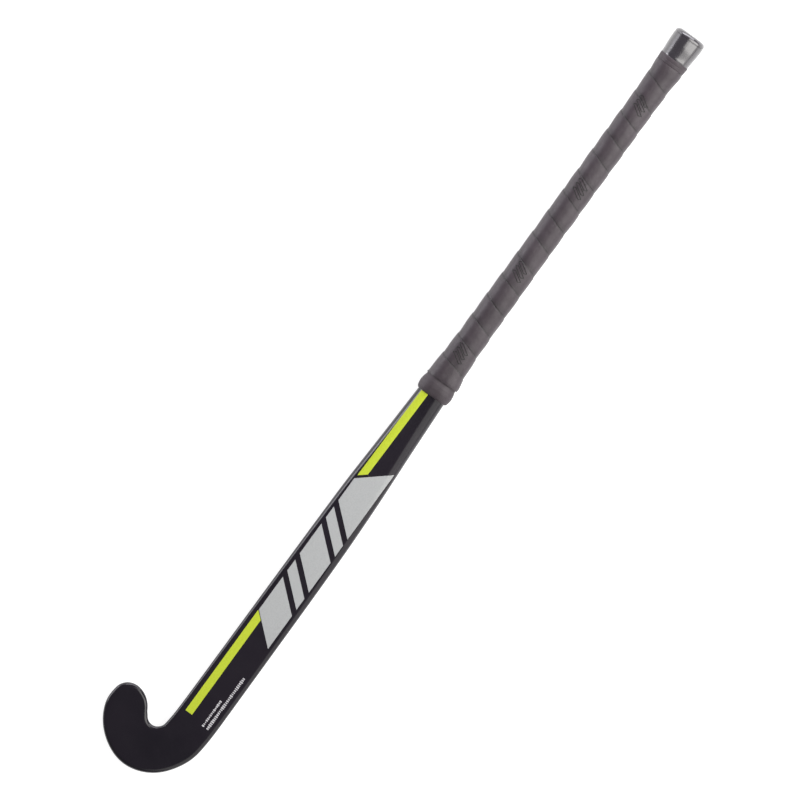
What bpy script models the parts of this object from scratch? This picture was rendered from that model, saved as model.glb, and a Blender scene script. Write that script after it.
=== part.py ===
"""Field hockey stick lying on its back, playing face up.

+Y runs up the handle, -X points to the toe and +Z points out of the playing face.
Everything is in metres. The outline is laid out from the handle's centre line and the
head's lowest point, and one empty then moves the whole stick to its own origin.
"""
import math
from collections import namedtuple

import bmesh
import bpy

# Whole stick
LENGTH = 0.9525
HEAD_THICKNESS = 0.0205
BOW_START = 0.090  # the face is flat and level below this height
BOW_CURVE = 0.0408  # rise of the face per metre squared above it

# Centre of the bounding box in the layout, which becomes the origin
BOX_CENTRE = (-0.0308, 0.4770)

# Hook: angle in degrees about its centre from the heel side, then inner and outer radius
HOOK_CENTRE = (-0.0331, 0.0600)
HOOK_RADII = (
    (0, 0.0105, 0.0571),
    (30, 0.0099, 0.0562),
    (60, 0.0096, 0.0583),
    (90, 0.0096, 0.0598),
    (120, 0.0097, 0.0577),
    (150, 0.0100, 0.0563),
    (165, 0.0107, 0.0557),
    (180, 0.0124, 0.0530),
)

# Toe: the end of an ellipse that leans outwards as it rises, centred below the hook's end
TOE_HALF_WIDTH = 0.0217
TOE_HALF_LENGTH = 0.0225
TOE_DROP = 0.0080
TOE_LEAN = -0.18
TOE_ANGLES = (82, 72, 61, 50, 40, 30)

# Shaft and handle, without the grip: height, toe edge, heel edge, thickness,
# share of the face that is flat, height of the rounded edge
SHAFT = (
    (0.0600, -0.0226, 0.0240, 0.0205, 0.82, 0.0040),
    (0.0700, -0.0214, 0.0250, 0.0205, 0.82, 0.0040),
    (0.0900, -0.0210, 0.0253, 0.0205, 0.82, 0.0040),
    (0.2400, -0.0203, 0.0252, 0.0211, 0.78, 0.0050),
    (0.3000, -0.0200, 0.0248, 0.0216, 0.72, 0.0060),
    (0.3600, -0.0195, 0.0232, 0.0225, 0.62, 0.0075),
    (0.4360, -0.0170, 0.0194, 0.0230, 0.42, 0.0095),
    (0.4940, -0.0151, 0.0168, 0.0235, 0.26, 0.0108),
    (0.5520, -0.0129, 0.0136, 0.0238, 0.12, 0.0118),
    (0.6200, -0.0125, 0.0127, 0.0242, 0.08, 0.0121),
    (0.7000, -0.0121, 0.0121, 0.0242, 0.08, 0.0121),
    (0.8600, -0.0121, 0.0121, 0.0242, 0.08, 0.0121),
    (0.9100, -0.0130, 0.0130, 0.0256, 0.08, 0.0128),
    (0.9525, -0.0134, 0.0134, 0.0264, 0.08, 0.0132),
)
BACK_ROUNDNESS = 2.3  # exponent of the rounded back; 2 is an ellipse
LEAST_FLAT = 0.0002
MOST_FLAT = 0.9
SHELL_TOP = 0.9472

# Walls and gaps
SHELL_WALL = 0.0030
TUBE_WALL = 0.0009
FIT_GAP = 0.0004
WEB_HALF_GAP = 0.0003

# Inner pieces, as heights up the stick
CORE_TOP = 0.0880
TUBE_BOTTOM = 0.0900
TUBE_TOP = 0.8960
PLUG_BOTTOM = 0.9020
PLUG_LENGTH = 0.0440
PLUG_RADIUS = 0.0078
PLUG_RIB_RADIUS = 0.0085
PLUG_BORE_RADIUS = 0.0040
PLUG_BORE_DEPTH = 0.0350
PLUG_RIBS = 4

# Grip
TAPE_BOTTOM = 0.5125
TAPE_TOP = 0.9135
TAPE_PITCH = 0.0257
TAPE_FIRST_SEAM = 0.5327  # the lowest seam that crosses the middle of the face
TAPE_SEAM = 0.0004
TAPE_LEAST_WIDTH = 0.0020  # where its ends are trimmed
TAPE_LIFT = 0.0004
TAPE_THIN_EDGE = 0.0019
TAPE_THICK_EDGE = 0.0023
TAPE_LAYERS_END = 0.5600  # below this height the tape thickens towards its lower end
TAPE_EXTRA = 0.0009

FINISHING_BAND = ((0.4940, 0.0012), (0.4956, 0.0026), (0.5000, 0.0034), (0.5060, 0.0034), (0.5120, 0.0026))
SEALING_BAND = ((0.9140, 0.0029), (0.9150, 0.0032), (0.9204, 0.0032), (0.9214, 0.0029))

# Butt cap, measured along its own axis from its open end
CAP_BOTTOM = 0.9218
CAP_LENGTH = LENGTH - CAP_BOTTOM
CAP_OPEN_RADIUS = 0.0165
CAP_WIDE_RADIUS = 0.0178
CAP_CORNER = 0.0040
CAP_BORE_RADIUS = 0.0142
CAP_END_WALL = 0.0036
CAP_RECESS = 0.0012
CAP_CORNER_STEPS = 5
CAP_WAIST = 0.0170  # height where the flare reaches nearly its full radius
CAP_WAIST_RADIUS = 0.0176
DISC_RADIUS = 0.0122
DISC_THICKNESS = 0.0008

# Films printed on the face
FILM_THICKNESS = 0.0002
FILM_LIFT = 0.0004
FILM_COLUMN = 0.0029
FILM_ROW = 0.0160
LOWER_STRIPE = ((-0.0139, 0.0830, 0.2109), (-0.0055, 0.0830, 0.2037))
UPPER_STRIPE = ((-0.0128, 0.3834, 0.4936), (-0.0044, 0.3905, 0.4936))
UPPER_STRIPE_DRIFT = 0.0018  # how far the upper stripe moves towards the handle's centre
BAR_TOE_X = -0.0135
BAR_HEEL_X = 0.0180
BAR_FIRST = 0.2115
BAR_SLANT = -0.87  # slope of each bar's ends, falling towards the heel
LAST_END_SLANT = 0.85  # the last bar's upper end rises instead, beside the upper stripe
BAR_LENGTHS = (0.042, 0.014, 0.038, 0.014, 0.028)
BAR_GAP = 0.0079

# Resolution
EDGE_STEPS = 3
BACK_STEPS = 6
RING = 2 * (1 + EDGE_STEPS + BACK_STEPS)
HOOK_STEP = 12  # degrees
TURN_STEPS = 32
RIB_SPACING = ((CORE_TOP, 0.0085), (0.6200, 0.0320), (LENGTH, 0.0700))  # up to a height, longest step

MATERIALS = {
    "black_lacquer": ((0.013, 0.011, 0.016), 0.30, 0.0),
    "foam": ((0.72, 0.62, 0.40), 0.90, 0.0),
    "glass_laminate": ((0.30, 0.33, 0.22), 0.55, 0.0),
    "grip_polyurethane": ((0.100, 0.083, 0.088), 0.70, 0.0),
    "band_rubber": ((0.075, 0.063, 0.068), 0.75, 0.0),
    "cap_gloss": ((0.040, 0.037, 0.044), 0.18, 0.0),
    "plug_plastic": ((0.55, 0.55, 0.53), 0.60, 0.0),
    "lime_film": ((0.55, 0.73, 0.030), 0.45, 0.0),
    "grey_film": ((0.55, 0.56, 0.57), 0.50, 0.0),
}

Rib = namedtuple("Rib", "centre across half_width flat top parting depth lean axis", defaults=(0.0, 0.0))


def eased(table, at):
    """The table's values at a position, on a smooth curve that never overshoots a row."""
    keys = [row[0] for row in table]
    at = min(max(at, keys[0]), keys[-1])
    low = max(i for i, key in enumerate(keys[:-1]) if key <= at)
    span = keys[low + 1] - keys[low]
    t = (at - keys[low]) / span
    values = []
    for column in range(1, len(table[0])):
        start, end = (table[low + k][column] for k in (0, 1))
        m0, m1 = (slope(table, low + k, column) * span for k in (0, 1))
        values.append(
            (2 * t**3 - 3 * t**2 + 1) * start
            + (t**3 - 2 * t**2 + t) * m0
            + (3 * t**2 - 2 * t**3) * end
            + (t**3 - t**2) * m1
        )
    return values


def slope(table, row, column):
    """Slope of a column at a row: the harmonic mean of its two sides, or flat at a peak."""
    if row in (0, len(table) - 1):
        return 0.0
    before, after = (
        (table[k + 1][column] - table[k][column]) / (table[k + 1][0] - table[k][0]) for k in (row - 1, row)
    )
    return 2 * before * after / (before + after) if before * after > 0 else 0.0


def face_height(y):
    """Height of the playing face's middle, which rises towards the handle."""
    return HEAD_THICKNESS + BOW_CURVE * max(0.0, y - BOW_START) ** 2


def face_slope(y):
    return 2 * BOW_CURVE * max(0.0, y - BOW_START)


def shaft_rib(y, inset=0.0):
    toe, heel, thickness, flat_share, edge = eased(SHAFT, y)
    half = (heel - toe) / 2
    top = face_height(y)
    return Rib(
        centre=((toe + heel) / 2, y),
        across=(1.0, 0.0),
        half_width=half - inset,
        flat=half * flat_share,
        top=top - inset,
        parting=top - edge,
        depth=thickness - edge - inset,
        lean=face_slope(y),
        axis=top - thickness / 2,
    )


def hook_rib(degrees, inset=0.0):
    inner, outer = eased(HOOK_RADII, degrees)
    thickness, flat_share, edge = SHAFT[0][3:]
    half = (outer - inner) / 2
    angle = math.radians(degrees)
    across = (math.cos(angle), -math.sin(angle))
    middle = (outer + inner) / 2
    return Rib(
        centre=(HOOK_CENTRE[0] + middle * across[0], HOOK_CENTRE[1] + middle * across[1]),
        across=across,
        half_width=half - inset,
        flat=half * flat_share,
        top=HEAD_THICKNESS - inset,
        parting=HEAD_THICKNESS - edge,
        depth=thickness - edge - inset,
    )


def toe_rib(degrees, inset=0.0):
    """A rib at an angle round the toe's ellipse, which ends at 90."""
    base = hook_rib(180)
    edge = base.top - base.parting
    angle = math.radians(degrees)
    rise = (TOE_HALF_LENGTH - inset) * math.sin(angle)
    flat_length = TOE_HALF_LENGTH - edge
    flat_share = math.sqrt(max(0.0, 1 - (rise / flat_length) ** 2))
    fall = max(0.0, rise - flat_length) / (edge - inset)
    past_hook = (rise - TOE_DROP) / (TOE_HALF_LENGTH - inset - TOE_DROP)
    half_width = (TOE_HALF_WIDTH - inset) * math.cos(angle)
    return Rib(
        centre=toe_centre(rise),
        across=base.across,
        half_width=half_width,
        flat=min((TOE_HALF_WIDTH - edge) * flat_share, MOST_FLAT * half_width) + LEAST_FLAT,
        top=base.parting + (edge - inset) * math.sqrt(1 - fall**2),
        parting=base.parting,
        depth=(base.depth - inset) * (1 - past_hook**BACK_ROUNDNESS) ** (1 / BACK_ROUNDNESS),
    )


def toe_centre(rise):
    """The middle of the toe at a height above its ellipse's centre."""
    x, y = hook_rib(180).centre
    return (x + TOE_LEAN * (rise - TOE_DROP), y + rise - TOE_DROP)


def toe_tip(inset=0.0):
    return (*toe_centre(TOE_HALF_LENGTH - inset), hook_rib(180).parting)


def half_outline(rib):
    """(across, height) from the middle of the face round one edge to the middle of the back."""
    points = [(0.0, rib.top)]
    for step in range(EDGE_STEPS + 1):
        angle = math.pi / 2 * step / EDGE_STEPS
        reach = rib.flat + (rib.half_width - rib.flat) * math.sin(angle)
        points.append((reach, rib.parting + (rib.top - rib.parting) * math.cos(angle)))
    power = 2 / BACK_ROUNDNESS
    for step in range(1, BACK_STEPS + 1):
        angle = math.pi / 2 * step / BACK_STEPS
        reach = rib.half_width * max(0.0, math.cos(angle)) ** power
        points.append((reach, rib.parting - rib.depth * math.sin(angle) ** power))
    points[-1] = (0.0, rib.parting - rib.depth)
    return points


def placed(rib, outline):
    """The outline's points in space, on a plane square to the bowed shaft."""
    return [
        (
            rib.centre[0] + reach * rib.across[0],
            rib.centre[1] + reach * rib.across[1] - rib.lean * (height - rib.axis),
            height,
        )
        for reach, height in outline
    ]


def full_ring(rib):
    """The whole section: down one side, then back up the other."""
    side = half_outline(rib)
    other = [(-reach, height) for reach, height in reversed(side[1:-1])]
    return placed(rib, side + other)


def tube_ring(rib, side, web):
    """Half of the section, closed by a straight web beside the middle."""
    squeeze = (rib.half_width - web) / rib.half_width
    return placed(rib, [(side * (web + reach * squeeze), height) for reach, height in half_outline(rib)])


def spread(start, end, longest):
    """Evenly spaced values from start to end, no further apart than the longest step."""
    steps = max(1, math.ceil(abs(end - start) / longest - 1e-6))
    return [start + (end - start) * step / steps for step in range(steps + 1)]


def shaft_heights(start, end):
    """Heights for ribs: close together in the neck, wider along the taper and widest above."""
    heights = [start]
    for stop, longest in RIB_SPACING:
        stop = min(stop, end)
        if stop > heights[-1]:
            heights += spread(heights[-1], stop, longest)[1:]
    return heights


def body_rings(top, inset):
    """Rings from the toe's tip round the hook and up the shaft to a height."""
    toe = [full_ring(toe_rib(angle, inset)) for angle in TOE_ANGLES]
    hook = [full_ring(hook_rib(angle, inset)) for angle in spread(180, HOOK_STEP, HOOK_STEP)]
    shaft = [full_ring(shaft_rib(y, inset)) for y in shaft_heights(SHAFT[0][0], top)]
    return toe + hook + shaft


def skin(name, material, rings, start="flat", end="flat"):
    """A closed mesh over a row of rings. Each end is 'flat', a point, or 'loop' to join both ends."""
    mesh = bpy.data.meshes.new(name)
    bm = bmesh.new()
    rows = [[bm.verts.new(point) for point in ring] for ring in rings]
    pairs = list(zip(rows, rows[1:]))
    if start == "loop":
        pairs.append((rows[-1], rows[0]))
    for low, high in pairs:
        for k in range(len(low)):
            following = (k + 1) % len(low)
            bm.faces.new((low[k], low[following], high[following], high[k]))
    for cap, row in ((start, rows[0]), (end, rows[-1])):
        if cap == "flat":
            bm.faces.new(row)
        elif cap != "loop":
            tip = bm.verts.new(cap)
            for k in range(len(row)):
                bm.faces.new((row[k], row[(k + 1) % len(row)], tip))
    bmesh.ops.recalc_face_normals(bm, faces=bm.faces)
    bm.to_mesh(mesh)
    bm.free()
    return add(name, mesh, material)


def add(name, mesh, material):
    """A part object for a mesh, under the stick's origin empty."""
    mesh.materials.append(material)
    part = bpy.data.objects.new(name, mesh)
    parts.objects.link(part)
    part.parent = origin
    mesh.shade_smooth()
    mesh.set_sharp_from_angle(angle=math.radians(40))
    return part


def turned(name, material, profile, y):
    """A shape turned about the handle's own axis, from (radius, height) points, top to bottom."""
    mesh = bpy.data.meshes.new(name)
    bm = bmesh.new()
    corners = [bm.verts.new((radius, 0.0, height)) for radius, height in profile]
    for low, high in zip(corners, corners[1:]):
        bm.edges.new((low, high))
    bm.to_mesh(mesh)
    bm.free()
    part = add(name, mesh, material)
    screw = part.modifiers.new("Turn", "SCREW")
    screw.steps = TURN_STEPS
    screw.render_steps = TURN_STEPS
    screw.use_merge_vertices = True
    screw.merge_threshold = 0.00005
    tilt = math.atan(face_slope(CAP_BOTTOM))
    part.location = (0.0, y, axis_height(y))
    part.rotation_euler = (tilt - math.pi / 2, 0.0, 0.0)
    return part


def axis_height(y):
    thickness = eased(SHAFT, y)[2]
    return face_height(y) - thickness / 2


def laminate_shell(material):
    outer = body_rings(SHELL_TOP, 0.0)
    inner = body_rings(SHELL_TOP, SHELL_WALL)
    skin("laminate_shell", material, outer + inner[::-1], toe_tip(), toe_tip(SHELL_WALL))


def head_core(material):
    inset = SHELL_WALL + FIT_GAP
    skin("head_core", material, body_rings(CORE_TOP, inset), toe_tip(inset))


def inner_tube(name, material, side):
    outside = SHELL_WALL + FIT_GAP
    heights = shaft_heights(TUBE_BOTTOM, TUBE_TOP)
    outer = [tube_ring(shaft_rib(y, outside), side, WEB_HALF_GAP) for y in heights]
    inner = [tube_ring(shaft_rib(y, outside + TUBE_WALL), side, WEB_HALF_GAP + TUBE_WALL) for y in heights]
    skin(name, material, outer + inner[::-1], "loop", "loop")


def butt_plug(material):
    """A hollow plug, closed at its top, with ribs that hold it in the handle."""
    profile = [(0.0, PLUG_LENGTH), (PLUG_RADIUS, PLUG_LENGTH)]
    spacing = PLUG_LENGTH / (PLUG_RIBS + 1)
    half_rib = spacing / 6
    for rib in range(PLUG_RIBS, 0, -1):
        middle = rib * spacing
        profile.append((PLUG_RADIUS, middle + 2 * half_rib))
        profile.append((PLUG_RIB_RADIUS, middle + half_rib))
        profile.append((PLUG_RIB_RADIUS, middle - half_rib))
        profile.append((PLUG_RADIUS, middle - half_rib))
    profile += [(PLUG_RADIUS, 0.0), (PLUG_BORE_RADIUS, 0.0)]
    profile += [(PLUG_BORE_RADIUS, PLUG_BORE_DEPTH), (0.0, PLUG_BORE_DEPTH)]
    turned("butt_plug", material, profile, PLUG_BOTTOM)


def butt_cap(material):
    """A cup over the handle's end, flared, with a rounded corner and a recess for the disc."""
    profile = [(0.0, CAP_LENGTH - CAP_RECESS), (DISC_RADIUS + FIT_GAP, CAP_LENGTH - CAP_RECESS)]
    profile.append((DISC_RADIUS + FIT_GAP, CAP_LENGTH))
    for step in range(CAP_CORNER_STEPS + 1):
        angle = math.pi / 2 * (1 - step / CAP_CORNER_STEPS)
        profile.append(
            (
                CAP_WIDE_RADIUS - CAP_CORNER * (1 - math.cos(angle)),
                CAP_LENGTH - CAP_CORNER * (1 - math.sin(angle)),
            )
        )
    profile += [(CAP_WAIST_RADIUS, CAP_WAIST), (CAP_OPEN_RADIUS, 0.0)]
    profile += [(CAP_BORE_RADIUS, 0.0), (CAP_BORE_RADIUS, CAP_LENGTH - CAP_END_WALL)]
    profile.append((0.0, CAP_LENGTH - CAP_END_WALL))
    turned("butt_cap", material, profile, CAP_BOTTOM)


def end_disc(material):
    """A disc let into the cap's flat end, level with it."""
    foot = CAP_LENGTH - DISC_THICKNESS
    profile = [(0.0, CAP_LENGTH), (DISC_RADIUS, CAP_LENGTH), (DISC_RADIUS, foot), (0.0, foot)]
    turned("end_disc", material, profile, CAP_BOTTOM)


def sleeve(name, material, profile):
    """A ring round the handle whose outside follows (height, thickness) points."""
    outer = [full_ring(shaft_rib(y, -TAPE_LIFT - thickness)) for y, thickness in profile]
    inner = [full_ring(shaft_rib(y, -TAPE_LIFT)) for y, _ in profile]
    skin(name, material, outer + inner[::-1], "loop", "loop")


def grip_tape(material):
    """One strip wound round the handle, each turn thicker at its upper edge, both ends trimmed square."""
    sections = []
    steps_to_top = (TAPE_TOP - TAPE_FIRST_SEAM) / TAPE_PITCH * RING
    for step in range(-2 * RING, math.ceil(steps_to_top)):
        seam = TAPE_FIRST_SEAM + TAPE_PITCH * step / RING
        low = max(TAPE_BOTTOM, seam + TAPE_SEAM / 2)
        high = min(TAPE_TOP, seam + TAPE_PITCH - TAPE_SEAM / 2)
        if high - low < TAPE_LEAST_WIDTH:
            continue
        section = []
        for y, outer in ((low, TAPE_THIN_EDGE), (high, TAPE_THICK_EDGE)):
            build_up = TAPE_EXTRA * max(0.0, (TAPE_LAYERS_END - y) / (TAPE_LAYERS_END - TAPE_BOTTOM))
            pair = [-TAPE_LIFT, -TAPE_LIFT - outer - build_up]
            section += [full_ring(shaft_rib(y, lift))[-step % RING] for lift in pair]
        low_inner, low_outer, high_inner, high_outer = section
        sections.append([low_inner, low_outer, high_outer, high_inner])
    skin("grip_tape", material, sections)


def film(name, material, toe_edge, heel_edge, drift=0.0):
    """A thin sheet on the face between two edges, each (across, low end, high end)."""
    columns = math.ceil((heel_edge[0] - toe_edge[0]) / FILM_COLUMN)
    rows = math.ceil(max(edge[2] - edge[1] for edge in (toe_edge, heel_edge)) / FILM_ROW)
    mesh = bpy.data.meshes.new(name)
    bm = bmesh.new()
    grid = []
    for row in range(rows + 1):
        along = row / rows
        line = []
        for column in range(columns + 1):
            part = column / columns
            x, low, high = (a + (b - a) * part for a, b in zip(toe_edge, heel_edge))
            y = low + (high - low) * along
            x += drift * along
            line.append(bm.verts.new((x, y, surface_height(x, y) + FILM_LIFT)))
        grid.append(line)
    for low_line, high_line in zip(grid, grid[1:]):
        for k in range(columns):
            bm.faces.new((low_line[k], low_line[k + 1], high_line[k + 1], high_line[k]))
    bm.to_mesh(mesh)
    bm.free()
    sheet = add(name, mesh, material)
    solid = sheet.modifiers.new("Thickness", "SOLIDIFY")
    solid.thickness = FILM_THICKNESS
    solid.offset = 1.0


def surface_height(x, y):
    """Height of the shaft's face side at a point, on the flat or on a rounded edge."""
    rib = shaft_rib(y)
    reach = abs(x - rib.centre[0])
    if reach <= rib.flat:
        return rib.top
    share = min(1.0, (reach - rib.flat) / (rib.half_width - rib.flat))
    return rib.parting + (rib.top - rib.parting) * math.sqrt(1 - share**2)


def graphic_bars(material):
    """Slanted bars across the face, between the two stripes."""
    width = BAR_HEEL_X - BAR_TOE_X
    low = BAR_FIRST
    for number, length in enumerate(BAR_LENGTHS, start=1):
        high = low + length
        end_slant = LAST_END_SLANT if number == len(BAR_LENGTHS) else BAR_SLANT
        toe_edge = (BAR_TOE_X, low, high)
        heel_edge = (BAR_HEEL_X, low + BAR_SLANT * width, high + end_slant * width)
        film(f"graphic_bar_{number}", material, toe_edge, heel_edge)
        low = high + BAR_GAP


def make_material(name):
    color, roughness, metallic = MATERIALS[name]
    material = bpy.data.materials.new(name)
    material.use_nodes = True
    shader = material.node_tree.nodes["Principled BSDF"]
    shader.inputs["Base Color"].default_value = (*color, 1.0)
    shader.inputs["Roughness"].default_value = roughness
    shader.inputs["Metallic"].default_value = metallic
    return material


for old in list(bpy.data.objects):
    bpy.data.objects.remove(old)

parts = bpy.data.collections.new("field_hockey_stick")
bpy.context.scene.collection.children.link(parts)
origin = bpy.data.objects.new("stick_origin", None)
origin.location = (-BOX_CENTRE[0], -BOX_CENTRE[1], 0.0)
parts.objects.link(origin)
finish = {name: make_material(name) for name in MATERIALS}

laminate_shell(finish["black_lacquer"])
head_core(finish["foam"])
inner_tube("toe_side_tube", finish["glass_laminate"], -1)
inner_tube("heel_side_tube", finish["glass_laminate"], 1)
butt_plug(finish["plug_plastic"])
butt_cap(finish["cap_gloss"])
end_disc(finish["cap_gloss"])
grip_tape(finish["grip_polyurethane"])
sleeve("finishing_band", finish["band_rubber"], FINISHING_BAND)
sleeve("sealing_band", finish["band_rubber"], SEALING_BAND)
film("lower_stripe", finish["lime_film"], *LOWER_STRIPE)
film("upper_stripe", finish["lime_film"], *UPPER_STRIPE, drift=UPPER_STRIPE_DRIFT)
graphic_bars(finish["grey_film"])
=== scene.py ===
import math
from collections import namedtuple

import bmesh
import bpy
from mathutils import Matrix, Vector, noise as lumps


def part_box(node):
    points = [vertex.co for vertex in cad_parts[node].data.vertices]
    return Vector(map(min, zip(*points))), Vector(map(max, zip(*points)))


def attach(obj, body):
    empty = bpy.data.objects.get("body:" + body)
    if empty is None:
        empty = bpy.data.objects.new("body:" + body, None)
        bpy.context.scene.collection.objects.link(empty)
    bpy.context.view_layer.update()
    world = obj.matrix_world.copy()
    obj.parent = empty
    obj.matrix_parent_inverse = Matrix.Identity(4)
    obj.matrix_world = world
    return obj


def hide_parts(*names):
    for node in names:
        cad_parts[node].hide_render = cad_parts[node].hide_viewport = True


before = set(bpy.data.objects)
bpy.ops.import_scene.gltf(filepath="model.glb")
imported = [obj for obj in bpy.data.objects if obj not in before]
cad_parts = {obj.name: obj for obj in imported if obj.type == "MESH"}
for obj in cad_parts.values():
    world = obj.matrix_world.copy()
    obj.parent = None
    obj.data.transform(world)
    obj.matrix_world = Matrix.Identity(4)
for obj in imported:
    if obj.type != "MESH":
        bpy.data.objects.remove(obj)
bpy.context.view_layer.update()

mm = 0.001
print("frame loaded:", len(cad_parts), "CAD nodes")

# The stick's shape. Heights run up from the head's lowest point, and across runs from the
# handle's middle to the heel (+) or to the toe (-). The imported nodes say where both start.

stick = {
    "headThickness": 20.5 * mm,
    "bowStart": 0.090,  # the face is flat and level below this height
    "bowCurve": 0.0408,  # rise of the face over the square of the height past there
    "backRoundness": 2.3,  # 2 would be an ellipse
    "flatPart": 0.3,  # share of a section's points that lie on its flat
    "gripFlatPart": 0.06,  # the same round the handle, which is nearly all curve
    "shellTop": 0.9472,
    "wall": 3.0 * mm,
}

hook = {
    "middle": (-0.0331, 0.0600),
    "radii": (  # degrees from the heel side, inner radius, outer radius
        (0, 0.0105, 0.0571),
        (30, 0.0099, 0.0562),
        (60, 0.0096, 0.0583),
        (90, 0.0096, 0.0598),
        (120, 0.0097, 0.0577),
        (150, 0.0100, 0.0563),
        (165, 0.0107, 0.0557),
        (180, 0.0124, 0.0530),
    ),
}

toe = {
    "halfWidth": 0.0217,
    "halfLength": 0.0225,
    "drop": 0.0080,  # from the end of the hook down to the toe's own middle
    "lean": -0.18,  # sideways for each unit of rise
    "flatMost": 0.9,  # the flat's largest share of the width
    "flatLeast": 0.2 * mm,
}

shaft = (  # height, toe edge, heel edge, thickness, flat share of the face, rounded edge
    (0.0600, -0.0226, 0.0240, 0.0205, 0.82, 0.0040),
    (0.0700, -0.0214, 0.0250, 0.0205, 0.82, 0.0040),
    (0.0900, -0.0210, 0.0253, 0.0205, 0.82, 0.0040),
    (0.2400, -0.0203, 0.0252, 0.0211, 0.78, 0.0050),
    (0.3000, -0.0200, 0.0248, 0.0216, 0.72, 0.0060),
    (0.3600, -0.0195, 0.0232, 0.0225, 0.62, 0.0075),
    (0.4360, -0.0170, 0.0194, 0.0230, 0.42, 0.0095),
    (0.4940, -0.0151, 0.0168, 0.0235, 0.26, 0.0108),
    (0.5520, -0.0129, 0.0136, 0.0238, 0.12, 0.0118),
    (0.6200, -0.0125, 0.0127, 0.0242, 0.08, 0.0121),
    (0.7000, -0.0121, 0.0121, 0.0242, 0.08, 0.0121),
    (0.8600, -0.0121, 0.0121, 0.0242, 0.08, 0.0121),
    (0.9100, -0.0130, 0.0130, 0.0256, 0.08, 0.0128),
    (0.9525, -0.0134, 0.0134, 0.0264, 0.08, 0.0132),
)

stripes = {  # each edge: across, low end, high end
    "lower": {
        "toeEdge": (-0.0139, 0.0830, 0.2109),
        "heelEdge": (-0.0055, 0.0830, 0.2037),
    },
    "upper": {
        "toeEdge": (-0.0128, 0.3834, 0.4936),
        "heelEdge": (-0.0044, 0.3905, 0.4936),
        "drift": 1.8 * mm,  # towards the heel by the high end
    },
}

plugLow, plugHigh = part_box("butt_plug")
stripeLow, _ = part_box("lower_stripe")
handleX = (plugLow.x + plugHigh.x) / 2
headY = stripeLow.y - stripes["lower"]["toeEdge"][1]

Rib = namedtuple("Rib", "middle across halfWidth flat top parting depth lean axis", defaults=(0.0, 0.0))


def place(across, height, z):
    return (across + handleX, height + headY, z)


def slopeAt(table, row, column):
    # harmonic mean of the slopes on both sides, or level at a peak
    if row in (0, len(table) - 1):
        return 0.0
    before, after = (
        (table[k + 1][column] - table[k][column]) / (table[k + 1][0] - table[k][0]) for k in (row - 1, row)
    )
    return 2 * before * after / (before + after) if before * after > 0 else 0.0


def eased(table, at):
    # a table's values at a position, on a smooth curve that never overshoots a row
    keys = [row[0] for row in table]
    at = min(max(at, keys[0]), keys[-1])
    low = max(i for i, key in enumerate(keys[:-1]) if key <= at)
    span = keys[low + 1] - keys[low]
    t = (at - keys[low]) / span
    values = []
    for column in range(1, len(table[0])):
        start, end = table[low][column], table[low + 1][column]
        m0, m1 = (slopeAt(table, low + k, column) * span for k in (0, 1))
        values.append(
            (2 * t**3 - 3 * t**2 + 1) * start
            + (t**3 - 2 * t**2 + t) * m0
            + (3 * t**2 - 2 * t**3) * end
            + (t**3 - t**2) * m1
        )
    return values


def smooth(low, high, at):
    t = min(max((at - low) / (high - low), 0.0), 1.0)
    return t * t * (3 - 2 * t)


def spread(start, end, longest):
    steps = max(1, math.ceil(abs(end - start) / longest - 1e-6))
    return [start + (end - start) * step / steps for step in range(steps + 1)]


def faceHeight(y):
    return stick["headThickness"] + stick["bowCurve"] * max(0.0, y - stick["bowStart"]) ** 2


def faceSlope(y):
    return 2 * stick["bowCurve"] * max(0.0, y - stick["bowStart"])


def axisHeight(y):
    return faceHeight(y) - eased(shaft, y)[2] / 2


def shaftRib(y, inset=0.0):
    toeEdge, heelEdge, thickness, flatShare, edge = eased(shaft, y)
    half = (heelEdge - toeEdge) / 2
    top = faceHeight(y)
    return Rib(
        middle=((toeEdge + heelEdge) / 2, y),
        across=(1.0, 0.0),
        halfWidth=half - inset,
        flat=half * flatShare,
        top=top - inset,
        parting=top - edge,
        depth=thickness - edge - inset,
        lean=faceSlope(y),
        axis=top - thickness / 2,
    )


def hookRib(degrees, inset=0.0):
    inner, outer = eased(hook["radii"], degrees)
    thickness, flatShare, edge = shaft[0][3:]
    half = (outer - inner) / 2
    angle = math.radians(degrees)
    across = (math.cos(angle), -math.sin(angle))
    reach = (outer + inner) / 2
    return Rib(
        middle=(hook["middle"][0] + reach * across[0], hook["middle"][1] + reach * across[1]),
        across=across,
        halfWidth=half - inset,
        flat=half * flatShare,
        top=stick["headThickness"] - inset,
        parting=stick["headThickness"] - edge,
        depth=thickness - edge - inset,
    )


def toeMiddle(rise):
    x, y = hookRib(180).middle
    return (x + toe["lean"] * (rise - toe["drop"]), y + rise - toe["drop"])


def toeRib(degrees, inset=0.0):
    # the toe is the end of an ellipse, and its tip is at 90 degrees
    base = hookRib(180)
    edge = base.top - base.parting
    angle = math.radians(degrees)
    rise = (toe["halfLength"] - inset) * math.sin(angle)
    flatLength = toe["halfLength"] - edge
    flatShare = math.sqrt(max(0.0, 1 - (rise / flatLength) ** 2))
    fall = max(0.0, rise - flatLength) / (edge - inset)
    pastHook = (rise - toe["drop"]) / (toe["halfLength"] - inset - toe["drop"])
    halfWidth = (toe["halfWidth"] - inset) * math.cos(angle)
    back = stick["backRoundness"]
    return Rib(
        middle=toeMiddle(rise),
        across=base.across,
        halfWidth=halfWidth,
        flat=min((toe["halfWidth"] - edge) * flatShare, toe["flatMost"] * halfWidth) + toe["flatLeast"],
        top=base.parting + (edge - inset) * math.sqrt(max(0.0, 1 - fall**2)),
        parting=base.parting,
        depth=(base.depth - inset) * (1 - pastHook**back) ** (1 / back),
    )


def toeTip(inset=0.0):
    return place(*toeMiddle(toe["halfLength"] - inset), hookRib(180).parting)


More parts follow.
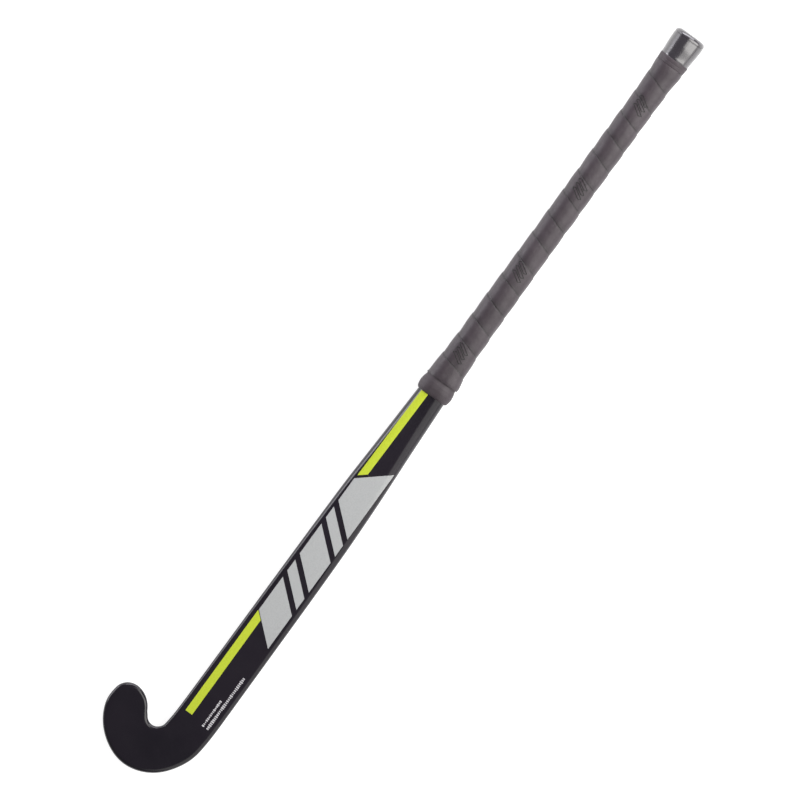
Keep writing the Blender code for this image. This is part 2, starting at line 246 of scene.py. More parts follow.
def sectionPoint(rib, share, flatPart):
    # a point round the section: 0 is the middle of the face, 0.25 the heel edge, 0.5 the back
    side = 1 if share <= 0.5 else -1
    quarter = 4 * (share if share <= 0.5 else 1 - share)
    power = 2 / stick["backRoundness"]
    if quarter <= flatPart:
        reach, height = rib.flat * quarter / flatPart, rib.top
    elif quarter <= 1:
        angle = math.pi / 2 * (quarter - flatPart) / (1 - flatPart)
        reach = rib.flat + (rib.halfWidth - rib.flat) * math.sin(angle)
        height = rib.parting + (rib.top - rib.parting) * math.cos(angle)
    else:
        angle = math.pi / 2 * (quarter - 1)
        reach = rib.halfWidth * max(0.0, math.cos(angle)) ** power
        height = rib.parting - rib.depth * math.sin(angle) ** power
    reach *= side
    x = rib.middle[0] + reach * rib.across[0]
    y = rib.middle[1] + reach * rib.across[1] - rib.lean * (height - rib.axis)
    return place(x, y, height)


def sectionRing(rib, count, flatPart=stick["flatPart"]):
    return [sectionPoint(rib, k / count, flatPart) for k in range(count)]


def loft(name, rings, start="flat", end="flat"):
    # a closed mesh over a row of rings: an end is flat, a point, or joined to the other end
    bm = bmesh.new()
    rows = [[bm.verts.new(point) for point in ring] for ring in rings]
    pairs = list(zip(rows, rows[1:]))
    if start == "joined":
        pairs.append((rows[-1], rows[0]))
    for low, high in pairs:
        for k in range(len(low)):
            after = (k + 1) % len(low)
            bm.faces.new((low[k], low[after], high[after], high[k]))
    for tip, row in ((start, rows[0]), (end, rows[-1])):
        if tip == "flat":
            bm.faces.new(row)
        elif tip != "joined":
            top = bm.verts.new(tip)
            for k in range(len(row)):
                bm.faces.new((row[k], row[(k + 1) % len(row)], top))
    bmesh.ops.recalc_face_normals(bm, faces=bm.faces)
    return pieceFrom(name, bm)


def pieceFrom(name, bm, sharp=35):
    mesh = bpy.data.meshes.new(name)
    bm.to_mesh(mesh)
    bm.free()
    mesh.shade_smooth()
    mesh.set_sharp_from_angle(angle=math.radians(sharp))
    piece = bpy.data.objects.new(name, mesh)
    bpy.context.scene.collection.objects.link(piece)
    return piece


def fit(piece, material, slot, *nodes):
    # every finished piece gets its material and its body, and hides the CAD node it stands for
    piece.data.materials.clear()
    piece.data.materials.append(material)
    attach(piece, "root")
    if nodes:
        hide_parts(*nodes)
    print(piece.name, "done:", len(piece.data.polygons), "faces")
    return piece


def rgb(text):
    # sRGB hex to linear
    channels = [int(text[k : k + 2], 16) / 255 for k in (1, 3, 5)]
    return tuple(c / 12.92 if c <= 0.04045 else ((c + 0.055) / 1.055) ** 2.4 for c in channels) + (1.0,)


def grey(value):
    return (value, value, value, 1.0)


def addNode(tree, kind, inputs, stops=(), **settings):
    # one node with its settings, a ramp's stops, and each input as a value or a link
    node = tree.nodes.new(kind)
    for name, value in settings.items():
        setattr(node, name, value)
    points = node.color_ramp.elements if stops else []
    while len(points) < len(stops):
        points.new(1.0)
    for point, (position, colour) in zip(points, stops):
        point.position = position
        point.color = colour
    for socket, value in inputs.items():
        if isinstance(value, bpy.types.NodeSocket):
            tree.links.new(value, node.inputs[socket])
        else:
            node.inputs[socket].default_value = value
    return node


def newMaterial(name, sockets):
    material = bpy.data.materials.new(name)
    material.use_nodes = True
    shader = material.node_tree.nodes["Principled BSDF"]
    for socket, value in sockets.items():
        shader.inputs[socket].default_value = value
    return material, material.node_tree, shader


def fractal(tree, size, detail=3.0, stretch=None):
    # noise whose features are about size metres across
    where = addNode(tree, "ShaderNodeTexCoord", {}).outputs["Object"]
    if stretch:
        where = addNode(tree, "ShaderNodeMapping", {"Vector": where, "Scale": stretch}).outputs["Vector"]
    inputs = {"Vector": where, "Scale": 1 / size, "Detail": detail}
    return addNode(tree, "ShaderNodeTexNoise", inputs).outputs["Fac"]


def toned(tree, *layers):
    # one or more layers multiplied together, each a factor and the stops that give it tones
    product = None
    for factor, *stops in layers:
        tone = addNode(tree, "ShaderNodeValToRGB", {"Fac": factor}, stops).outputs["Color"]
        if product is not None:
            both = {0: 1.0, 6: product, 7: tone}
            tone = addNode(tree, "ShaderNodeMix", both, data_type="RGBA", blend_type="MULTIPLY").outputs[2]
        product = tone
    return product


def relief(tree, *layers):
    # the normal over one or more layers of bumps, each a height and its depth in metres
    under = {}
    for height, depth in layers:
        inputs = {"Height": height, "Distance": depth, "Strength": 1.0, **under}
        under = {"Normal": addNode(tree, "ShaderNodeBump", inputs).outputs["Normal"]}
    return under["Normal"]


def finish(tree, shader, links):
    # links what the nodes give to the shader's sockets
    for socket, value in links.items():
        tree.links.new(value, shader.inputs[socket])


def sprayedLacquer():
    # black polyurethane lacquer sprayed over the laminate: satin, with a faint orange peel
    sizes = {"peel": 2.2 * mm, "cloud": 90 * mm, "haze": 16 * mm}
    material, tree, shader = newMaterial("sprayedBlackLacquer", {
        "IOR": 1.48, "Coat Weight": 0.15, "Coat Roughness": 0.12, "Specular IOR Level": 0.45,
    })
    cloud, haze = fractal(tree, sizes["cloud"], 2.0), fractal(tree, sizes["haze"], 4.0)
    finish(tree, shader, {
        "Base Color": toned(tree, (cloud, (0.38, rgb("#15111a")), (0.62, rgb("#1c1720")))),
        "Roughness": toned(tree, (haze, (0.3, grey(0.16)), (0.7, grey(0.23)))),
        "Normal": relief(tree, (fractal(tree, sizes["peel"], 2.0), 0.01 * mm)),
    })
    return material


def screenInk(name, thin, full, roughness, speck):
    # screen printed ink: an even colour, with a fine speckle where the mesh left it thin
    material, tree, shader = newMaterial(name, {"IOR": 1.48, "Specular IOR Level": 0.3})
    haze = fractal(tree, speck * 3)
    finish(tree, shader, {
        "Base Color": toned(tree, (fractal(tree, speck, 5.0), (0.36, rgb(thin)), (0.60, rgb(full)))),
        "Roughness": toned(tree, (haze, (0.3, grey(roughness)), (0.7, grey(roughness + 0.1)))),
        "Normal": relief(tree, (fractal(tree, speck * 1.5), 0.01 * mm)),
    })
    return material


def gripPolyurethane(name, dark, light, roughness):
    # coagulated polyurethane on felt: matte and soft, with dirt and painted shade in the seam beside each
    # lap
    # (the real grain is finer, and wouldn't show)
    sizes = {"grain": 1.1 * mm, "haze": 4.4 * mm, "swell": 6 * mm, "mottle": 24 * mm}
    material, tree, shader = newMaterial(name, {"Sheen Weight": 0.12, "Sheen Roughness": 0.45, "IOR": 1.5})
    mottle, haze = fractal(tree, sizes["mottle"], 4.0), fractal(tree, sizes["haze"])
    swell, grain = fractal(tree, sizes["swell"], 3.0), fractal(tree, sizes["grain"], 3.0)
    # The lap is 0 at a turn's lower seam and 1 at its upper one. Beside both seams the colour is darkened,
    # partly dirt and partly painted shade in the crevice between turns; on a piece without the lap, that
    # darkening covers everything.
    lap = addNode(tree, "ShaderNodeAttribute", {}, attribute_name="lap").outputs["Fac"]
    seamDirtAndShade = (0.0, grey(0.18)), (0.05, grey(0.72)), (0.3, grey(1.0)), (0.95, grey(1.0)), (1.0, grey(0.3))
    finish(tree, shader, {
        "Base Color": toned(tree, (mottle, (0.3, rgb(dark)), (0.7, rgb(light))), (lap, *seamDirtAndShade)),
        "Roughness": toned(tree, (haze, (0.3, grey(roughness)), (0.7, grey(roughness + 0.12)))),
        "Normal": relief(tree, (swell, 0.35 * mm), (grain, 0.05 * mm)),
    })
    return material


def stretchedRubber():
    # calendered rubber tape pulled tight: matte, with fine lines along the pull
    sizes = {"lines": 0.7 * mm, "cloud": 18 * mm}
    material, tree, shader = newMaterial("calenderedRubber", {"IOR": 1.52})
    cloud = fractal(tree, sizes["cloud"])
    lines = fractal(tree, sizes["lines"], 2.0, stretch=(0.08, 1.0, 0.08))
    finish(tree, shader, {
        "Base Color": toned(tree, (cloud, (0.3, rgb("#383036")), (0.7, rgb("#423a40")))),
        "Roughness": toned(tree, (lines, (0.3, grey(0.48)), (0.7, grey(0.62)))),
        "Normal": relief(tree, (lines, 0.04 * mm)),
    })
    return material


def mouldedCap(name, dark, light, roughness):
    # injection moulded PVC from a polished mould: glossy, with faint flow marks
    sizes = {"flow": 26 * mm, "ripple": 5 * mm}
    material, tree, shader = newMaterial(name, {
        "IOR": 1.53, "Coat Weight": 1.0, "Coat IOR": 1.8, "Coat Roughness": 0.14,
    })
    flow, ripple = fractal(tree, sizes["flow"], 2.0), fractal(tree, sizes["ripple"])
    finish(tree, shader, {
        "Base Color": toned(tree, (flow, (0.35, rgb(dark)), (0.65, rgb(light)))),
        "Roughness": toned(tree, (ripple, (0.3, grey(roughness)), (0.7, grey(roughness + 0.06)))),
        "Normal": relief(tree, (fractal(tree, sizes["ripple"], 2.0), 0.03 * mm)),
    })
    return material


def castFoam():
    # poured polyurethane foam: open cells of about a millimetre, tan, with painted shade darkening the
    # hollow inside each cell
    cell = 0.9 * mm
    material, tree, shader = newMaterial("castPolyurethaneFoam", {"IOR": 1.45})
    where = addNode(tree, "ShaderNodeTexCoord", {}).outputs["Object"]
    cells = addNode(tree, "ShaderNodeTexVoronoi", {"Vector": where, "Scale": 1 / cell}).outputs["Distance"]
    finish(tree, shader, {
        "Base Color": toned(tree, (cells, (0.1, rgb("#8f7d4f")), (0.6, rgb("#dccb9c")))),
        "Roughness": toned(tree, (cells, (0.0, grey(0.95)), (1.0, grey(0.85)))),
        "Normal": relief(tree, (cells, 0.3 * mm)),
    })
    return material


def wovenLaminate():
    # glass cloth cured in epoxy: a plain weave seen through a satin resin
    tow = 1.4 * mm
    material, tree, shader = newMaterial("wovenGlassLaminate", {"IOR": 1.55})
    where = addNode(tree, "ShaderNodeTexCoord", {}).outputs["Object"]
    turned = addNode(tree, "ShaderNodeMapping", {"Vector": where, "Rotation": (0, 0, math.pi / 4)})
    squares = {"Vector": turned.outputs["Vector"], "Scale": 1 / tow}
    weave = addNode(tree, "ShaderNodeTexChecker", squares).outputs["Fac"]
    finish(tree, shader, {
        "Base Color": toned(tree, (weave, (0.0, rgb("#6f7a4c")), (1.0, rgb("#a3a878")))),
        "Roughness": toned(tree, (fractal(tree, tow * 2), (0.3, grey(0.45)), (0.7, grey(0.60)))),
        "Normal": relief(tree, (weave, 0.05 * mm)),
    })
    return material


def sparkErodedPlastic():
    # polypropylene from a spark eroded mould: light grey with a fine matt texture
    sizes = {"grit": 0.8 * mm, "cloud": 16 * mm}
    material, tree, shader = newMaterial("sparkErodedPolypropylene", {"IOR": 1.49})
    cloud, grit = fractal(tree, sizes["cloud"]), fractal(tree, sizes["grit"])
    finish(tree, shader, {
        "Base Color": toned(tree, (cloud, (0.3, rgb("#bcbbb6")), (0.7, rgb("#c9c8c3")))),
        "Roughness": toned(tree, (grit, (0.3, grey(0.55)), (0.7, grey(0.68)))),
        "Normal": relief(tree, (grit, 0.03 * mm)),
    })
    return material


lacquer = sprayedLacquer()
limeInk = screenInk("screenPrintedLimeInk", "#b5c530", "#bccc37", 0.42, 1.6 * mm)
greyInk = screenInk("screenPrintedSilverInk", "#a6a8a9", "#aeb0b1", 0.45, 1.2 * mm)
printInk = screenInk("screenPrintedSmallMarks", "#b4b2b6", "#cfced2", 0.45, 1.2 * mm)
gripFinish = gripPolyurethane("coagulatedPolyurethane", "#372f35", "#433b41", 0.40)
# the pressed outlines are darker, partly from the heat press and partly as painted shade where the raised
# outlines cast shadow; these pieces have no lap, so the seam darkening also darkens them all over
pressedOutlineShadeFinish = gripPolyurethane("heatPressedPolyurethaneAndPaintedShade", "#221d21", "#2b2529", 0.34)
bandFinish = stretchedRubber()
capFinish = mouldedCap("polishedMouldedPvc", "#2a262d", "#312d34", 0.24)
discFinish = mouldedCap("mouldedPvcDisc", "#2b272e", "#332f36", 0.30)
print("materials done")


laminate = {
    "ring": 88,  # points round a section
    "tip": 89,  # degrees of the last section before the toe's tip, which is at 90
    "bend": 2.0,  # degrees between sections
    "straight": 3.0 * mm,  # between sections up the shaft
    "insideEvery": 4,  # the inside has this many times fewer sections
    "sanding": 14,
}


def sanded(rings, passes):
    # averages each ring with its neighbours, so that no joint shows in the outline
    for _ in range(passes):
        threes = zip(rings, rings[1:], rings[2:])
        between = [[(a + b * 2 + c) / 4 for a, b, c in zip(*three)] for three in threes]
        rings = rings[:1] + between + rings[-1:]
    return rings


def wallRings(inset, coarse):
    bend, straight = laminate["bend"], laminate["straight"]
    hookEnd = math.degrees(math.asin(toe["drop"] / (toe["halfLength"] - inset)))
    ribs = [toeRib(angle, inset) for angle in spread(laminate["tip"], hookEnd + bend, bend * coarse)]
    ribs += [hookRib(angle, inset) for angle in spread(180, bend, bend * coarse)]
    ribs += [shaftRib(y, inset) for y in spread(shaft[0][0], stick["shellTop"], straight * coarse)]
    return [[Vector(spot) for spot in sectionRing(rib, laminate["ring"])] for rib in ribs]


def laminateShell():
    outside = sanded(wallRings(0.0, 1), laminate["sanding"])
    inside = wallRings(stick["wall"], laminate["insideEvery"])
    return loft("laminateShell", outside + inside[::-1], toeTip(), toeTip(stick["wall"]))


shell = fit(laminateShell(), lacquer, "black_lacquer", "laminate_shell")

film = {
    "thickness": 0.06 * mm,
    "lift": 0.02 * mm,
    "column": 0.8 * mm,  # widest spacing of its points
    "row": 2.5 * mm,
}


def surfaceHeight(x, y):
    # height of the shell's face at a point
    rib = shaftRib(y)
    reach = abs(x - rib.middle[0])
    if reach <= rib.flat:
        return rib.top
    share = min(1.0, (reach - rib.flat) / (rib.halfWidth - rib.flat))
    return rib.parting + (rib.top - rib.parting) * math.sqrt(1 - share**2)


def filmPiece(name, toeEdge, heelEdge, drift=0.0):
    # a thin closed sheet on the face between two edges, each (across, low end, high end)
    columns = math.ceil((heelEdge[0] - toeEdge[0]) / film["column"])
    rows = math.ceil(max(edge[2] - edge[1] for edge in (toeEdge, heelEdge)) / film["row"])
    bm = bmesh.new()
    layers = []
    for lift in (film["lift"], film["lift"] + film["thickness"]):
        grid = []
        for row in range(rows + 1):
            line = []
            for column in range(columns + 1):
                x, low, high = (a + (b - a) * column / columns for a, b in zip(toeEdge, heelEdge))
                y = low + (high - low) * row / rows
                x += drift * row / rows
                z = surfaceHeight(x, y)
                y -= faceSlope(y) * (z - axisHeight(y))
                line.append(bm.verts.new(place(x, y, z + lift)))
            grid.append(line)
        layers.append(grid)
    bottom, top = layers
    for row in range(rows):
        for k in range(columns):
            bm.faces.new((top[row][k], top[row][k + 1], top[row + 1][k + 1], top[row + 1][k]))
            bm.faces.new((bottom[row][k], bottom[row + 1][k], bottom[row + 1][k + 1], bottom[row][k + 1]))
    rim = [(0, k) for k in range(columns)] + [(row, columns) for row in range(rows)]
    rim += [(rows, k) for k in range(columns, 0, -1)] + [(row, 0) for row in range(rows, 0, -1)]
    for here, after in zip(rim, rim[1:] + rim[:1]):
        low, lowAfter = (bottom[row][k] for row, k in (here, after))
        high, highAfter = (top[row][k] for row, k in (here, after))
        bm.faces.new((low, lowAfter, highAfter, high))
    bmesh.ops.recalc_face_normals(bm, faces=bm.faces)
    return pieceFrom(name, bm)


for part, edges in stripes.items():
    fit(filmPiece(part + "Stripe", **edges), limeInk, "lime_film", part + "_stripe")

bars = {
    "toeX": -0.0135,
    "heelX": 0.0180,
    "first": 0.2115,
    "slant": -0.87,  # slope of the bars' ends, falling towards the heel
    "lastSlant": 0.85,  # the last bar's upper end rises instead
    "lengths": (0.042, 0.014, 0.038, 0.014, 0.028),
    "gap": 0.0079,
}


def graphicBars():
    # plain slanted bars, one above another
    width = bars["heelX"] - bars["toeX"]
    low = bars["first"]
    for number, length in enumerate(bars["lengths"], start=1):
        high = low + length
        endSlant = bars["lastSlant"] if number == len(bars["lengths"]) else bars["slant"]
        toeEdge = (bars["toeX"], low, high)
        heelEdge = (bars["heelX"], low + bars["slant"] * width, high + endSlant * width)
        piece = filmPiece(f"graphicBar{number}", toeEdge, heelEdge)
        fit(piece, greyInk, "grey_film", f"graphic_bar_{number}")
        low = high + bars["gap"]


graphicBars()

tape = {
    "firstSeam": 0.5327,  # lowest seam that crosses the middle of the face
    "pitch": 25.7 * mm,
    "drift": (0.6 * mm, 2.2 * mm, 2.7, 13),  # mean, swing, turn where the wave starts, turns in it
    "wobble": 0.8 * mm,  # from turn to turn
    "wobbleRate": 2.5,
    "wobbleSeed": 7.0,
    "bottom": 0.5125,
    "top": 0.9135,
    "lift": 0.4 * mm,
    "lap": 5.0 * mm,  # how far each turn runs on beneath the next one down
    "lowHeight": 1.7 * mm,
    "highHeight": 2.25 * mm,
    "highPart": 0.85,  # share of the width at which it gets that high
    "skived": 0.25 * mm,  # thickness of the hidden edge
    "roundEdge": 1.3 * mm,
    "edgeFall": 0.45 * mm,  # how far the round of a seam falls
    "endFall": 0.2 * mm,  # and that of the strip's two ends
    "crown": 0.15 * mm,
    "clearance": 0.05 * mm,  # between one turn and the next
    "thinnest": 0.03 * mm,
    "extra": 0.9 * mm,  # more layers towards the lower end
    "extraEnd": 0.560,
    "flare": 0.7 * mm,  # rise towards the band at the top
    "flareStart": 0.897,
    "bulge": 0.9 * mm,  # folded end of the tape, on the heel side just above the lower band
    "bulgeAt": 0.5160,
    "bulgeSize": 5.5 * mm,
    "unevenness": 0.30 * mm,
    "lumpSize": 17 * mm,
    "lumpRadius": 15 * mm,
    "firstTurn": -2,
    "pastTop": 0.3,  # of a turn, so that the band covers where the strip stops
    "least": 0.6 * mm,  # narrower than this, a turn is left out
    "stepsPerTurn": 96,
    "lapSteps": (-1, -0.66, -0.33, -0.06),  # points across the hidden lap, as shares of it
    "faceSteps": (  # and across the part that shows
        0.0, 0.012, 0.04, 0.09, 0.16, 0.24, 0.33, 0.42, 0.51, 0.60,
        0.69, 0.77, 0.84, 0.90, 0.94, 0.965, 0.982, 0.993, 1.0,
    ),
}


def seamHeight(turn):
    # hand winding drifts slowly along the handle, and wobbles a little from turn to turn
    mean, swing, firstTurn, turns = tape["drift"]
    drift = mean - swing * math.cos(2 * math.pi * (turn - firstTurn) / turns)
    wobble = tape["wobble"] * lumps.noise(Vector((turn * tape["wobbleRate"], 0.0, tape["wobbleSeed"])))
    return tape["firstSeam"] + tape["pitch"] * turn + drift + wobble


def tapeHeight(up, width):
    # height of the tape's outside over the shell, at a distance up from its lower seam
    hidden, low, high = tape["skived"], tape["lowHeight"], tape["highHeight"]
    if up < 0:
        return hidden + (low - hidden) * smooth(-tape["lap"], 0, up)
    height = low + (high - low) * smooth(0, tape["highPart"] * width, up)
    height += tape["crown"] * math.sin(math.pi * up / width)
    left = min(1.0, (width - up) / tape["roundEdge"])
    return height - tape["edgeFall"] * (1 - math.sqrt(max(0.0, 1 - (1 - left) ** 2)))


def gripTape():
    # one strip, with a section across it at every step of the winding
    turnSteps, lap = tape["stepsPerTurn"], tape["lap"]
    lastTurn = (tape["top"] - tape["firstSeam"]) / tape["pitch"] + tape["pastTop"]
    sections, laps = [], []
    for step in range(tape["firstTurn"] * turnSteps, round(lastTurn * turnSteps)):
        turn = step / turnSteps
        seam = seamHeight(turn)
        width = seamHeight(turn + 1) - seam
        low, high = max(tape["bottom"], seam - lap), min(tape["top"], seam + width)
        if high - max(low, seam) < tape["least"]:
            continue
        places = [seam + lap * part for part in tape["lapSteps"]]
        places += [seam + width * part for part in tape["faceSteps"]]
        places = [min(max(y, low), high) for y in places]
        share = (-step % turnSteps) / turnSteps
        section = [tapePoint(y, share, tapeOutside(y, seam, width, turn)) for y in places]
        # underneath, it rests on the hidden lap of the turn above, and elsewhere on the shell
        for y in reversed(places[::3] + places[-1:]):
            above = min(y - seam - width, 0.0)
            under = tapeHeight(above, width) + tape["clearance"] if above > -lap else 0.0
            under = min(under, tapeOutside(y, seam, width, turn) - tape["thinnest"])
            section.append(tapePoint(y, share, under))
        sections.append(section)
        outer = [min(max((y - seam) / width, 0.0), 1.0) for y in places]
        laps += outer + [0.0] * (len(section) - len(outer))
    piece = loft("gripTape", sections)
    layer = piece.data.attributes.new("lap", "FLOAT", "POINT")
    layer.data.foreach_set("value", laps)
    return piece


def tapeOutside(y, seam, width, turn):
    # the same height with the unevenness of the whole handle added
    height = tapeHeight(y - seam, width)
    height += tape["extra"] * max(0.0, (tape["extraEnd"] - y) / (tape["extraEnd"] - tape["bottom"]))
    height += tape["flare"] * smooth(tape["flareStart"], tape["top"], y)
    angle = -2 * math.pi * turn
    folded = math.exp(-(((y - tape["bulgeAt"]) / tape["bulgeSize"]) ** 2))
    height += tape["bulge"] * folded * (0.5 + 0.5 * math.sin(angle))
    radius = tape["lumpRadius"]
    if y > seam:
        spot = Vector((math.cos(angle) * radius, math.sin(angle) * radius, y)) / tape["lumpSize"]
        height += tape["unevenness"] * lumps.noise(spot)
    for end in (tape["bottom"], tape["top"]):
        near = min(1.0, abs(y - end) / tape["roundEdge"])
        height -= tape["endFall"] * (1 - math.sqrt(1 - (1 - near) ** 2))
    return height


def tapePoint(y, share, height):
    return sectionPoint(shaftRib(y, -tape["lift"] - height), share, stick["gripFlatPart"])


grip = fit(gripTape(), gripFinish, "grip_tape", "grip_tape")

pressedMarks = {  # each mark is the outlines of three slanted bars, let into the grip
    "heights": (0.5475, 0.6510, 0.7565, 0.8625),
    "bars": ((-0.6 * mm, -5.4 * mm), (-0.6 * mm, 0.0), (-0.6 * mm, 5.4 * mm)),
    "length": 14.0 * mm,
    "width": 2.9 * mm,
    "skew": 1.9 * mm,
    "slant": -0.55,  # radians
    "turn": 0.04,  # how much the slant varies
    "line": 0.5 * mm,  # radius of the bead along an outline
    "lineSteps": 96,
    "lineSides": 10,
    "sunk": 0.18 * mm,
    "seed": 11,
}
finePrint = {  # two rows of plain dashes low on the face
    "rows": ((10.4 * mm, 15, 2.6 * mm), (16.0 * mm, 30, 3.4 * mm)),  # across, dashes, height
    "start": 0.0805,
    "pitch": 2.2 * mm,
    "dash": 1.45 * mm,
    "thickness": 0.08 * mm,
    "lift": 0.05 * mm,
    "least": (0.55, 0.7, 1.0),  # each dash is scaled at random between these two
    "most": (1.0, 1.25, 1.0),
    "points": (5, 3, 2),  # each way, so that a dash bends with the face
    "seed": 5,
}


def nodeTree(name, **kinds):
    tree = bpy.data.node_groups.new(name, "GeometryNodeTree")
    for label, kind in {"Geometry": "Geometry", **kinds}.items():
        tree.interface.new_socket(label, in_out="INPUT", socket_type="NodeSocket" + kind)
    tree.interface.new_socket("Geometry", in_out="OUTPUT", socket_type="NodeSocketGeometry")
    return tree, tree.nodes.new("NodeGroupInput").outputs


def castDown(tree, target, start=0.2, reach=1.0):
    # the target straight below each point: where, its normal there, and the point's own height
    surface = addNode(tree, "GeometryNodeObjectInfo", {"Object": target}, transform_space="ORIGINAL")
    here = addNode(tree, "GeometryNodeInputPosition", {})
    spot = addNode(tree, "ShaderNodeSeparateXYZ", {0: here.outputs[0]})
    above = addNode(tree, "ShaderNodeCombineXYZ", {0: spot.outputs[0], 1: spot.outputs[1], 2: start})
    ray = addNode(tree, "GeometryNodeRaycast", {
        "Target Geometry": surface.outputs["Geometry"],
        "Source Position": above.outputs[0],
        "Ray Direction": (0.0, 0.0, -1.0),
        "Ray Length": reach,
    })
    return ray.outputs["Hit Position"], ray.outputs["Hit Normal"], spot.outputs[2]


def endTree(tree, geometry, material):
    whole = addNode(tree, "GeometryNodeRealizeInstances", {"Geometry": geometry})
    painted = addNode(tree, "GeometryNodeSetMaterial", {
        "Geometry": whole.outputs["Geometry"], "Material": material,
    })
    addNode(tree, "NodeGroupOutput", {"Geometry": painted.outputs["Geometry"]})


def grownPiece(name, points, tree, values):
    # runs a tree over a few points and keeps the result as a plain mesh
    mesh = bpy.data.meshes.new(name)
    mesh.from_pydata(points, [], [])
    piece = bpy.data.objects.new(name, mesh)
    bpy.context.scene.collection.objects.link(piece)
    modifier = piece.modifiers.new(name, "NODES")
    modifier.node_group = tree
    for item in tree.interface.items_tree:
        if item.in_out == "INPUT" and item.name in values:
            modifier[item.identifier] = values[item.name]
    piece.update_tag()
    graph = bpy.context.evaluated_depsgraph_get()
    grown = bpy.data.meshes.new_from_object(piece.evaluated_get(graph), depsgraph=graph)
    piece.modifiers.clear()
    piece.data = grown
    grown.name = name
    return piece


def marksTree():
    sizes = dict.fromkeys(("length", "width", "skew", "line", "sunk"), "Float")
    tree, given = nodeTree("pressedMarks", Target="Object", Material="Material", Seed="Int", **sizes)
    outline = addNode(tree, "GeometryNodeCurvePrimitiveQuadrilateral", {
        "Width": given["length"], "Height": given["width"], "Offset": given["skew"],
    }, mode="PARALLELOGRAM")
    slant, turn = pressedMarks["slant"], pressedMarks["turn"]
    lean = addNode(tree, "FunctionNodeRandomValue", {
        0: (0.0, 0.0, slant - turn), 1: (0.0, 0.0, slant + turn), "Seed": given["Seed"],
    }, data_type="FLOAT_VECTOR")
    copies = addNode(tree, "GeometryNodeInstanceOnPoints", {
        "Points": given["Geometry"], "Instance": outline.outputs[0], "Rotation": lean.outputs[0],
    })
    whole = addNode(tree, "GeometryNodeRealizeInstances", {"Geometry": copies.outputs[0]})
    fine = addNode(tree, "GeometryNodeResampleCurve", {
        "Curve": whole.outputs[0], "Count": pressedMarks["lineSteps"],
    })
    hit, normal, _ = castDown(tree, given["Target"])
    sunk = addNode(tree, "ShaderNodeVectorMath", {0: normal, "Scale": given["sunk"]}, operation="SCALE")
    lowered = addNode(tree, "ShaderNodeVectorMath", {0: hit, 1: sunk.outputs[0]}, operation="SUBTRACT")
    draped = addNode(tree, "GeometryNodeSetPosition", {
        "Geometry": fine.outputs[0], "Position": lowered.outputs[0],
    })
    bead = addNode(tree, "GeometryNodeCurvePrimitiveCircle", {
        "Resolution": pressedMarks["lineSides"], "Radius": given["line"],
    })
    line = addNode(tree, "GeometryNodeCurveToMesh", {
        "Curve": draped.outputs[0], "Profile Curve": bead.outputs[0],
    })
    smoothed = addNode(tree, "GeometryNodeSetShadeSmooth", {
        "Geometry": line.outputs[0], "Shade Smooth": True,
    })
    endTree(tree, smoothed.outputs[0], given["Material"])
    return tree


def printTree():
    sizes = dict.fromkeys(("height", "dash", "thickness", "lift"), "Float")
    tree, given = nodeTree("finePrint", Target="Object", Material="Material", Seed="Int", **sizes)
    size = addNode(tree, "ShaderNodeCombineXYZ", {
        0: given["height"], 1: given["dash"], 2: given["thickness"],
    })
    x, y, z = finePrint["points"]
    dash = addNode(tree, "GeometryNodeMeshCube", {
        "Size": size.outputs[0], "Vertices X": x, "Vertices Y": y, "Vertices Z": z,
    })
    stretch = addNode(tree, "FunctionNodeRandomValue", {
        0: finePrint["least"], 1: finePrint["most"], "Seed": given["Seed"],
    }, data_type="FLOAT_VECTOR")
    copies = addNode(tree, "GeometryNodeInstanceOnPoints", {
        "Points": given["Geometry"], "Instance": dash.outputs[0], "Scale": stretch.outputs[0],
    })
    whole = addNode(tree, "GeometryNodeRealizeInstances", {"Geometry": copies.outputs[0]})
    hit, _, height = castDown(tree, given["Target"])
    up = addNode(tree, "ShaderNodeMath", {0: height, 1: given["lift"]}, operation="ADD")
    over = addNode(tree, "ShaderNodeCombineXYZ", {2: up.outputs[0]})
    lifted = addNode(tree, "ShaderNodeVectorMath", {0: hit, 1: over.outputs[0]}, operation="ADD")
    draped = addNode(tree, "GeometryNodeSetPosition", {
        "Geometry": whole.outputs[0], "Position": lifted.outputs[0],
    })
    endTree(tree, draped.outputs[0], given["Material"])
    return tree


def buildMarks():
    points = []
    for height in pressedMarks["heights"]:
        points += [place(x, height + y, 0.0) for x, y in pressedMarks["bars"]]
    values = {**pressedMarks, "Target": grip, "Material": pressedOutlineShadeFinish, "Seed": pressedMarks["seed"]}
    fit(grownPiece("pressedMarks", points, marksTree(), values), pressedOutlineShadeFinish, "grip_tape")


def buildPrint():
    tree = printTree()
    for number, (x, count, height) in enumerate(finePrint["rows"], start=1):
        points = [place(x, finePrint["start"] + finePrint["pitch"] * k, 0.0) for k in range(count)]
        values = {**finePrint, "Target": shell, "Material": printInk, "Seed": finePrint["seed"] + number}
        values["height"] = height
        fit(grownPiece(f"finePrint{number}", points, tree, values), printInk, "grey_film")


buildMarks()
buildPrint()

bands = {  # height, then how far the outside stands off the shell
    "finishing": (
        (0.4940, 0.6 * mm), (0.4946, 1.5 * mm), (0.4962, 2.5 * mm), (0.4990, 3.3 * mm), (0.5028, 3.8 * mm),
        (0.5066, 3.6 * mm), (0.5095, 3.0 * mm), (0.5114, 2.6 * mm), (0.51248, 2.35 * mm),
    ),
    "sealing": (
        (0.91352, 2.75 * mm), (0.9141, 3.0 * mm), (0.9160, 3.2 * mm), (0.9172, 3.25 * mm),
        (0.9176, 3.1 * mm), (0.9180, 3.3 * mm), (0.9204, 3.5 * mm), (0.9214, 3.45 * mm),
        (0.92178, 3.2 * mm),
    ),
    "inside": 0.4 * mm,
    "ring": 96,
    "step": 0.25 * mm,
    "insideEvery": 6,  # the inside has this many times fewer rings
}


